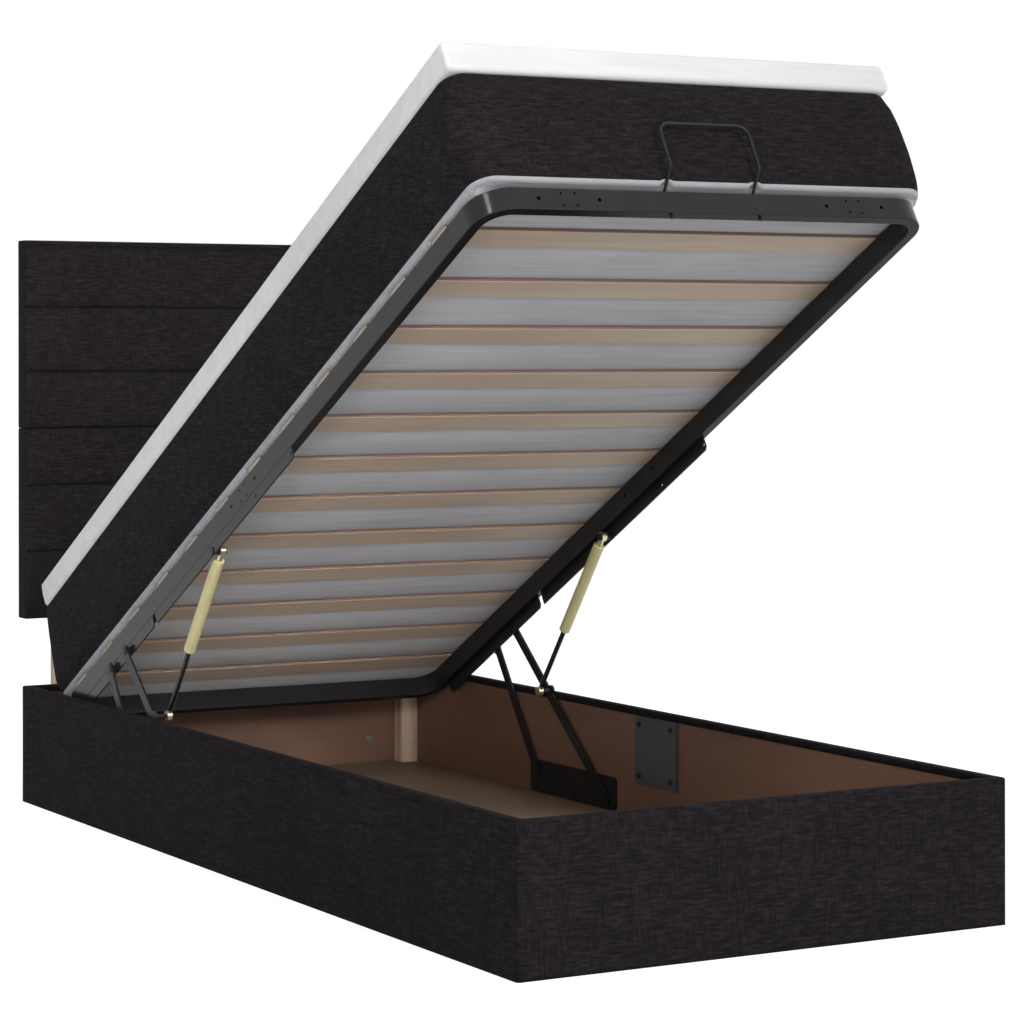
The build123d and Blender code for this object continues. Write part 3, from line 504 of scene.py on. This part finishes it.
# The frame's paint gets painted shade on faces under the platform (under)
frame_paint = satin_paint("frame_paint", (0.020, 0.0192, 0.0205), (0.032, 0.031, 0.033),
                          roughness=0.17, gloss=0.16, under=0.45)
black_paint = satin_paint("black_paint", (0.012, 0.0115, 0.013), (0.030, 0.029, 0.032),
                          roughness=0.4, gloss=0.2)
grey_paint = satin_paint("grey_paint", (0.052, 0.054, 0.068), (0.09, 0.092, 0.105),
                         roughness=0.42)
cream_paint = satin_paint("cream_paint", (0.64, 0.58, 0.31), (0.52, 0.46, 0.24), roughness=0.3)
rod_finish = plated_steel("rod_finish", (0.05, 0.05, 0.055), (0.03, 0.03, 0.033), 0.28)
zinc = plated_steel("zinc_finish", (0.72, 0.66, 0.42), (0.55, 0.52, 0.4), 0.34)
screw_steel = plated_steel("screw_steel", (0.5, 0.5, 0.5), (0.36, 0.36, 0.38), 0.36)
bolt_black = plated_steel("bolt_black", (0.03, 0.03, 0.034), (0.015, 0.015, 0.017), 0.4)
slat_wood = birch("birch_slat")
wall_board = hardboard("wall_hardboard", (0.125, 0.063, 0.039), (0.225, 0.117, 0.075))
floor_hardboard = hardboard("floor_hardboard", (0.13, 0.085, 0.052), (0.22, 0.15, 0.10))
post_wood = pine("post_pine", (14, 14, 1.6))
batten_wood = pine("batten_pine", (14, 1.6, 14))
black_rubber = rubber("buffer_rubber")
topper_cloth = pale_cloth("topper_cloth", (0.73, 0.722, 0.732), (0.83, 0.822, 0.832), rib=60)
# Painted shade: a darker copy of the underside cloth for the mattress's rolled lower edge
rim_shade = pale_cloth("binding_cloth", (0.32, 0.325, 0.34), (0.44, 0.445, 0.46), rib=110)
under_cloth = pale_cloth("under_cloth", (0.45, 0.455, 0.48), (0.57, 0.575, 0.595), rib=110)

FINISHES = (
    (wall_board, ("board_right_foot", "board_right_head", "board_left_foot", "board_left_head",
                  "board_foot", "board_head")),
    (floor_hardboard, ("floor_board_foot", "floor_board_head")),
    (post_wood, ("headboard_posts", "corner_posts")),
    (batten_wood, ("floor_ledges", "floor_bearer", "side_dowels")),
    (black_rubber, ("rest_buffers",)),
    (grey_paint, ("joint_plates",)),
    (bolt_black, ("joint_bolts", "plate_bolts")),
    (screw_steel, ("corner_screws", "headboard_bolts", "headboard_screws", "slat_screws")),
    (black_paint, ("base_plates", "base_pivots", "front_link_right", "front_link_left",
                   "strut_studs", "rear_links", "link_pins", "strut_pins", "pull_handle")),
    (frame_paint, ("frame_tube", "strut_brackets", "link_brackets")),
    (cream_paint, ("strut_cylinder_right", "strut_cylinder_left")),
    (zinc, ("strut_upper_eyes", "strut_lower_eyes")),
    (rod_finish, ("strut_rod_right", "strut_rod_left")),
    (slat_wood, [f"slat_{number:02d}" for number in range(1, SLAT_COUNT + 1)]),
)
for finish, names in FINISHES:
    for name in names:
        slots = nodes[name].data.materials
        for index in range(len(slots)):
            slots[index] = finish


# Meshes


def new_piece(name, vertices, faces, materials, body, indices=None):
    """Mesh object that rides on a body."""
    mesh = bpy.data.meshes.new(name)
    mesh.from_pydata([tuple(v) for v in vertices], [], faces)
    for material in materials:
        mesh.materials.append(material)
    if indices is not None:
        mesh.polygons.foreach_set("material_index", indices)
    mesh.polygons.foreach_set("use_smooth", [True] * len(mesh.polygons))
    mesh.validate()
    mesh.update()
    piece = bpy.data.objects.new(name, mesh)
    bpy.context.scene.collection.objects.link(piece)
    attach(piece, body)
    return piece


def steps(low, high, pitch, near=(), beside=(), edges=()):
    """Grid lines between two ends, closer beside the marks and the ends."""
    lines = set(np.linspace(low, high, max(2, round((high - low) / pitch)) + 1).round(5))
    for mark in near:
        lines = {line for line in lines if abs(line - mark) > beside[-1]}
        lines |= {round(mark + sign * step, 5) for step in beside for sign in (1, -1)}
    reach = max(edges)
    lines = {line for line in lines if low + reach < line < high - reach}
    lines |= {round(low + edge, 5) for edge in edges} | {round(high - edge, 5) for edge in edges}
    return sorted(lines | {low, high})


def shares(count):
    """Height shares of the rows between a wall's lower and upper end."""
    return [step / count for step in range(1, count)]


def rounded_plan(u, v, half_u, half_v, radius):
    """Moves a point of a rectangle's corner squares onto the rounded corner."""
    a = abs(u) - (half_u - radius)
    b = abs(v) - (half_v - radius)
    if a <= 0 or b <= 0:
        return u, v
    a, b = a / radius, b / radius
    u_new = half_u - radius + radius * a * sqrt(1 - b * b * HALF)
    v_new = half_v - radius + radius * b * sqrt(1 - a * a * HALF)
    return (u_new if u > 0 else -u_new), (v_new if v > 0 else -v_new)


def edge_distance(u, v, half_u, half_v, radius):
    """Distance inwards from the rounded outline."""
    a = abs(u) - (half_u - radius)
    b = abs(v) - (half_v - radius)
    outside = sqrt(max(a, 0) ** 2 + max(b, 0) ** 2)
    return radius - outside - min(max(a, b), 0)


def outward(u, v, half_u, half_v, radius):
    """Direction out of the rounded outline."""
    a = max(abs(u) - (half_u - radius), 0)
    b = max(abs(v) - (half_v - radius), 0)
    length = sqrt(a * a + b * b) or 1.0
    return (a / length if u > 0 else -a / length), (b / length if v > 0 else -b / length)


def rolled(distance, radius):
    """How far an edge of that radius has fallen at a distance inside the outline."""
    if distance >= radius:
        return 0.0
    return radius - sqrt(max(radius * radius - (radius - distance) ** 2, 0))


def flat(*place):
    """No crown, sag or bulge."""
    return 0.0


def pad(us, vs, radius, bottom, top, edges, rows, swell=flat, crown=flat, hang=flat):
    """Closed pad over a rounded rectangle: its points (u, v, w), its faces, and how many of
    them the upper face has, which come first, and the lower face, which come next.

    The edges are the radii of the lower and the upper edge. The wall has that many rows of
    faces, and swell gives its bulge by height share. The upper face's extra height is crown
    and the lower face's sag is hang.
    """
    half_u, half_v = us[-1], vs[-1]
    lower_edge, upper_edge = edges
    nu, nv = len(us), len(vs)
    points = []
    for upper in (True, False):
        for v in vs:
            for u in us:
                pu, pv = rounded_plan(u, v, half_u, half_v, radius)
                inside = max(edge_distance(pu, pv, half_u, half_v, radius), 0)
                if upper:
                    w = top - rolled(inside, upper_edge) + crown(pu, pv, inside)
                else:
                    w = bottom + rolled(inside, lower_edge) - hang(pu, pv, inside)
                points.append((pu, pv, w))
    under = nu * nv
    cells = [j * nu + i for j in range(nv - 1) for i in range(nu - 1)]
    faces = [(cell, cell + 1, cell + nu + 1, cell + nu) for cell in cells]
    faces += [tuple(under + corner for corner in reversed(face)) for face in faces]
    rim = list(range(nu)) + [j * nu + nu - 1 for j in range(1, nv)]
    rim += [(nv - 1) * nu + i for i in range(nu - 2, -1, -1)]
    rim += [j * nu for j in range(nv - 2, 0, -1)]
    rings = [[under + index for index in rim]]
    for share in shares(rows):
        ring = []
        for index in rim:
            u, v, w_top = points[index]
            w_low = points[under + index][2]
            out_u, out_v = outward(u, v, half_u, half_v, radius)
            push = swell(share, u, v)
            ring.append(len(points))
            points.append((u + out_u * push, v + out_v * push, w_low + (w_top - w_low) * share))
        rings.append(ring)
    rings.append(rim)
    for low, high in zip(rings, rings[1:]):
        for i in range(len(rim)):
            k = (i + 1) % len(rim)
            faces.append((low[i], low[k], high[k], high[i]))
    return points, faces, len(cells)


def on_platform(x, run, rise):
    """Place in the frame of a point across, along and above the platform."""
    y0, z0 = PLATFORM_ORIGIN
    return (
        x,
        y0 + run * cos(PLATFORM_TILT) + rise * sin(PLATFORM_TILT),
        z0 - run * sin(PLATFORM_TILT) + rise * cos(PLATFORM_TILT),
    )


def ripple(x, y, z, size, seed):
    """Smooth noise between -1 and 1 with lumps of that size."""
    return noise.noise(Vector((x / size + seed, y / size - seed, z / size + 2 * seed)))


# Mattress and topper


def sag(run):
    """How full the underside hangs at a place along the platform, zero on a slat."""
    place = run - SLAT_FIRST_RUN
    gap = SLAT_PITCH - SLAT_WIDTH
    number = min(max(int(place // SLAT_PITCH), -1), SLAT_COUNT - 1)
    past_slat = place - number * SLAT_PITCH - SLAT_WIDTH
    if past_slat <= 0:
        return 0.0
    share = min(past_slat / gap, 1.0)
    if number == -1:
        share = max(share, HALF)
    if number == SLAT_COUNT - 1:
        share = min(share, HALF)
    return (4 * share * (1 - share)) ** SAG_POWER


def leg_dent(u, from_foot, inside):
    """How far a leg of the pull handle presses the foot edge of the mattress up."""
    aside = 1 - abs(abs(u) - HANDLE_LEG) / LEG_DENT_WIDTH
    along = 1 - from_foot / LEG_DENT_LENGTH
    if aside <= 0 or along <= 0:
        return 0.0
    inner = min(1.0, HALF + inside / LEG_DENT_REACH)
    return LEG_DENT * sqrt(aside) * min(1.0, 2 * along) * inner


def build_mattress():
    """Mattress: full charcoal border, pale underside that hangs between the slats, and a darker
    grey round the underside's rim that is painted shade on the rolled lower edge."""
    half_u, half_v = MATTRESS_WIDTH * HALF, MATTRESS_LENGTH * HALF
    middle = MATTRESS_START + half_v

    def swell(share, u, v):
        toward_head = (v / half_v + 1) * HALF
        foot = np.interp(share, WALL_SHARES, FOOT_BULGE)
        head = np.interp(share, WALL_SHARES, HEAD_BULGE)
        lump = ripple(u, v, share * WALL_LUMP_RISE, *WALL_LUMPS)
        return foot + (head - foot) * toward_head + WALL_RIPPLE * sin(pi * share) * lump

    def hang(u, v, inside):
        inner = min(max(inside - SAG_START, 0) / SAG_REACH, 1.0) ** HALF
        return SAG_DEPTH * sag(middle + v) * inner - leg_dent(u, v + half_v, inside)

    slat_edges = [SLAT_FIRST_RUN + number * SLAT_PITCH + side - middle
                  for number in range(SLAT_COUNT) for side in (0, SLAT_WIDTH)]
    us = steps(-half_u, half_u, MATTRESS_PITCH, (-HANDLE_LEG, HANDLE_LEG), HANDLE_LINES,
               CORNER_LINES)
    vs = steps(-half_v, half_v, MATTRESS_PITCH, slat_edges, SLAT_LINES, CORNER_LINES)
    points, faces, cells = pad(us, vs, MATTRESS_CORNER, 0, MATTRESS_RISE,
                               (MATTRESS_LOWER_EDGE, MATTRESS_UPPER_EDGE), MATTRESS_ROWS,
                               swell=swell, hang=hang)
    materials = (charcoal, under_cloth, rim_shade)
    indices = [0] * len(faces)
    for number in range(cells, 2 * cells):
        corners = [points[corner] for corner in faces[number]]
        u, v = (sum(corner[axis] for corner in corners) / len(corners) for axis in (0, 1))
        # Faces near the underside's rim get the painted shade
        near_rim = edge_distance(u, v, half_u, half_v, MATTRESS_CORNER) < RIM_SHADE_WIDTH
        indices[number] = materials.index(rim_shade if near_rim else under_cloth)
    placed = [on_platform(u, middle + v, SOFT_BOTTOM + w) for u, v, w in points]
    piece = new_piece("mattress_cover", placed, faces, materials, "platform",
                      indices)
    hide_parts("mattress")


def build_topper():
    """White topper with a rolled lower edge and neat corners."""
    half_u, half_v = TOPPER_WIDTH * HALF, TOPPER_LENGTH * HALF
    middle = TOPPER_START + half_v

    def swell(share, u, v):
        lump = ripple(u, v, share, *TOPPER_WALL_LUMPS)
        return TOPPER_BULGE * sin(pi * share) + TOPPER_RIPPLE * lump - TOPPER_SETTLE

    def crown(u, v, inside):
        rise = TOPPER_CROWN * (1 - (u / half_u) ** 2) * (1 - (v / half_v) ** 2)
        return rise + TOPPER_RIPPLE * ripple(u, v, 0, *TOPPER_FACE_LUMPS)

    us = steps(-half_u, half_u, TOPPER_PITCH, edges=TOPPER_LINES)
    vs = steps(-half_v, half_v, TOPPER_PITCH, edges=TOPPER_LINES)
    points, faces, _ = pad(us, vs, TOPPER_CORNER, 0, TOPPER_RISE,
                           (TOPPER_LOWER_EDGE, TOPPER_UPPER_EDGE), TOPPER_ROWS, swell, crown)
    placed = [on_platform(u, middle + v, TOPPER_BOTTOM + w) for u, v, w in points]
    piece = new_piece("topper_cover", placed, faces, (topper_cloth,), "platform")
    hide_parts("topper")


# Headboard


def build_headboard(name, node, span, seams):
    """Padded headboard panel with level sewn channels."""
    low, high = span
    half_u, half_v = HEADBOARD_HALF_WIDTH, (high - low) * HALF
    middle = (high + low) * HALF
    marks = [low, *seams, high]

    def crown(u, v, inside):
        z = v + middle
        depth = 0.0
        for first, last in zip(marks, marks[1:]):
            if first <= z <= last:
                share = (z - first) / (last - first)
                depth = -CHANNEL_ROUND * (2 * share - 1) ** 4
                if first == low and share < HALF or last == high and share > HALF:
                    depth *= CHANNEL_END_SHARE
        near_seam = min(abs(z - seam) for seam in seams)
        depth -= CREASE_DEPTH * np.exp(-near_seam / CREASE_WIDTH)
        pucker = ripple(u, z, 0, *PUCKER_LUMPS) * PUCKER_HEIGHT * np.exp(-near_seam / PUCKER_REACH)
        soft = PANEL_RIPPLE * ripple(u, z * PANEL_LUMP_SQUEEZE, 0, *PANEL_LUMPS)
        fade = min(inside / PANEL_FADE, 1.0)
        sunk = depth * min(inside / CREASE_END, 1.0)
        return sunk + (pucker + soft) * fade - PANEL_SETTLE * fade

    us = steps(-half_u, half_u, HEADBOARD_PITCH[0], edges=HEADBOARD_LINES)
    vs = steps(-half_v, half_v, HEADBOARD_PITCH[1], [seam - middle for seam in seams], SEAM_LINES,
               HEADBOARD_LINES)
    points, faces, _ = pad(us, vs, HEADBOARD_CORNER, HEADBOARD_BACK_STEP, HEADBOARD_THICKNESS,
                           (HEADBOARD_BACK_EDGE, HEADBOARD_EDGE), HEADBOARD_ROWS, crown=crown)
    placed = [(u, HEADBOARD_BACK - w, middle + v) for u, v, w in points]
    piece = new_piece(name, placed, faces, (charcoal,), "base")
    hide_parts(node)


# Base upholstery


def outline(half_x, low_y, high_y, radius):
    """Points round a rectangle with rounded corners, the same count for any inset."""
    corners = ((half_x, high_y), (-half_x, high_y), (-half_x, low_y), (half_x, low_y))
    centres = [(x - radius if x > 0 else x + radius, y - radius if y == high_y else y + radius)
               for x, y in corners]
    runs = [round(length / COVER_PITCH) for length in (2 * BASE_HALF_WIDTH, HEAD_FACE - FOOT_FACE)]
    points = []
    for number, (cx, cy) in enumerate(centres):
        turns = [radians(90 * number + 90 * step / COVER_ARC) for step in range(COVER_ARC + 1)]
        points += [(cx + radius * cos(turn), cy + radius * sin(turn)) for turn in turns]
        next_x, next_y = centres[(number + 1) % 4]
        x0, y0 = points[-1]
        x1, y1 = next_x + radius * cos(turns[-1]), next_y + radius * sin(turns[-1])
        count = runs[number % 2]
        for share in shares(count):
            points.append((x0 + (x1 - x0) * share, y0 + (y1 - y0) * share))
    return points


def build_base_cover():
    """Taut fabric round the base box: outer walls, rolled rim and turned-in band."""
    rim, wall, thick, height = COVER_RIM, COVER_WALL, COVER_THICKNESS, BASE_HEIGHT
    quarter = [radians(90 * step / COVER_ARC) for step in range(COVER_ARC + 1)]
    profile = [(0.0, 0.0)]
    profile += [(0.0, height * share) for share in COVER_WALL_ROWS]
    profile += [(rim - rim * cos(turn), height - rim + rim * sin(turn)) for turn in quarter]
    profile += [(wall * share, height) for share in COVER_RIM_ROWS]
    profile += [(wall - rim + rim * sin(turn), height - rim + rim * cos(turn)) for turn in quarter]
    profile += [(wall, height - COVER_TURN_IN), (wall - thick, height - COVER_TURN_IN)]
    profile += [(wall - thick, height - thick), (thick, height - thick), (thick, 0.0)]
    points = []
    for inset, z in profile:
        radius = max(COVER_CORNER - inset, COVER_INNER_CORNER)
        ring = outline(BASE_HALF_WIDTH - inset, FOOT_FACE + inset, HEAD_FACE - inset, radius)
        points += [Vector((x, y, z)) for x, y in ring]
    count = len(ring)
    rippled_rows = len(COVER_WALL_ROWS) + COVER_RIPPLED_ARC_ROWS
    for point in points[count:(rippled_rows + 1) * count]:
        squeezed = point.z * COVER_LUMP_SQUEEZE
        lift = COVER_BROAD_RIPPLE * ripple(point.x, point.y, squeezed, *COVER_BROAD_LUMPS)
        lift += COVER_FINE_RIPPLE * ripple(*point, *COVER_FINE_LUMPS)
        on_side = abs(abs(point.x) - BASE_HALF_WIDTH) < ON_FACE
        on_foot = abs(point.y - FOOT_FACE) < ON_FACE
        if on_side:
            point.x += (lift - COVER_SETTLE) * (1 if point.x > 0 else -1)
        if on_foot:
            from_fold = abs(abs(point.x) - (BASE_HALF_WIDTH - FOLD_INSET))
            point.y -= lift - COVER_SETTLE - FOLD_HEIGHT * np.exp(-(from_fold / FOLD_WIDTH) ** 2)
    faces = []
    for row in range(len(profile)):
        start, following = row * count, (row + 1) % len(profile) * count
        for i in range(count):
            k = (i + 1) % count
            faces.append((start + i, start + k, following + k, following + i))
    piece = new_piece("base_cover", points, faces, (charcoal,), "base")
    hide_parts("cover_side_right", "cover_side_left", "cover_foot", "cover_head")


build_base_cover()
build_headboard("headboard_lower_pad", "headboard_lower", LOWER_PANEL, LOWER_SEAMS)
build_headboard("headboard_upper_pad", "headboard_upper", UPPER_PANEL, UPPER_SEAMS)
build_mattress()
build_topper()


# Camera, floor and light


def add_camera():
    """Camera at the photo's place and angle."""
    data = bpy.data.cameras.new("camera")
    data.lens = CAMERA_LENS
    data.sensor_width = CAMERA_SENSOR
    data.shift_x, data.shift_y = CAMERA_SHIFT
    data.clip_end = CAMERA_REACH
    camera = bpy.data.objects.new("camera", data)
    turn = Matrix.Rotation(-CAMERA_YAW, 4, "Z") @ Matrix.Rotation(radians(90), 4, "X")
    turn = turn @ Matrix.Rotation(CAMERA_ROLL, 4, "Z")
    camera.matrix_world = Matrix.Translation(CAMERA_PLACE) @ turn
    bpy.context.scene.collection.objects.link(camera)
    bpy.context.scene.camera = camera


def seen_directly(tree):
    """One for camera, glossy and transmission rays, else zero."""
    path = tree.nodes.new("ShaderNodeLightPath")
    total = path.outputs["Is Camera Ray"]
    for name in ("Is Glossy Ray", "Is Transmission Ray"):
        highest = tree.nodes.new("ShaderNodeMath")
        highest.operation = "MAXIMUM"
        tree.links.new(total, highest.inputs[0])
        tree.links.new(path.outputs[name], highest.inputs[1])
        total = highest.outputs[0]
    return total


def lit_or_shown(tree, lighting, shown, output):
    """One shader for light that falls on the bed, another for what the camera sees."""
    mix = tree.nodes.new("ShaderNodeMixShader")
    tree.links.new(seen_directly(tree), mix.inputs["Fac"])
    tree.links.new(lighting.outputs[0], mix.inputs[1])
    tree.links.new(shown.outputs[0], mix.inputs[2])
    tree.links.new(mix.outputs["Shader"], tree.nodes[output].inputs["Surface"])


def add_world():
    """White background over a softer sky that lights the bed."""
    world = bpy.data.worlds.new("studio")
    bpy.context.scene.world = world
    world.use_nodes = True
    tree = world.node_tree
    sky = tree.nodes["Background"]
    white = tree.nodes.new("ShaderNodeBackground")
    for background, strength in ((sky, SKY_STRENGTH), (white, 1.0)):
        background.inputs["Color"].default_value = (1, 1, 1, 1)
        background.inputs["Strength"].default_value = strength
    lit_or_shown(tree, sky, white, "World Output")


def add_floor():
    """Pale floor that shows as white and keeps the bed's shadow."""
    r = FLOOR_REACH
    mesh = bpy.data.meshes.new("floor")
    mesh.from_pydata([(-r, -r, 0), (r, -r, 0), (r, r, 0), (-r, r, 0)], [], [(0, 1, 2, 3)])
    floor = bpy.data.objects.new("floor", mesh)
    bpy.context.scene.collection.objects.link(floor)
    material = bpy.data.materials.new("floor")
    material.use_nodes = True
    tree = material.node_tree
    tree.nodes.remove(tree.nodes["Principled BSDF"])
    glow = tree.nodes.new("ShaderNodeEmission")
    glow.inputs["Strength"].default_value = FLOOR_GLOW
    pale = tree.nodes.new("ShaderNodeBsdfDiffuse")
    pale.inputs["Color"].default_value = (FLOOR_SHADE, FLOOR_SHADE, FLOOR_SHADE, 1)
    bounce = tree.nodes.new("ShaderNodeBsdfDiffuse")
    bounce.inputs["Color"].default_value = (FLOOR_BOUNCE, FLOOR_BOUNCE, FLOOR_BOUNCE, 1)
    shown = tree.nodes.new("ShaderNodeAddShader")
    tree.links.new(glow.outputs[0], shown.inputs[0])
    tree.links.new(pale.outputs[0], shown.inputs[1])
    lit_or_shown(tree, bounce, shown, "Material Output")
    mesh.materials.append(material)


def add_lamp(name, place, aim, width, height, power, beam):
    """Soft box that faces a point, its beam narrowed to an angle in degrees."""
    data = bpy.data.lights.new(name, "AREA")
    data.shape = "RECTANGLE"
    data.size, data.size_y = width, height
    data.energy = power
    data.spread = radians(beam)
    lamp = bpy.data.objects.new(name, data)
    lamp.location = place
    lamp.visible_camera = False
    lamp.rotation_euler = (Vector(aim) - Vector(place)).to_track_quat("-Z", "Y").to_euler()
    bpy.context.scene.collection.objects.link(lamp)


add_camera()
add_world()
add_floor()
for lamp in LAMPS:
    add_lamp(*lamp)

bpy.context.scene.view_settings.view_transform = "Standard"
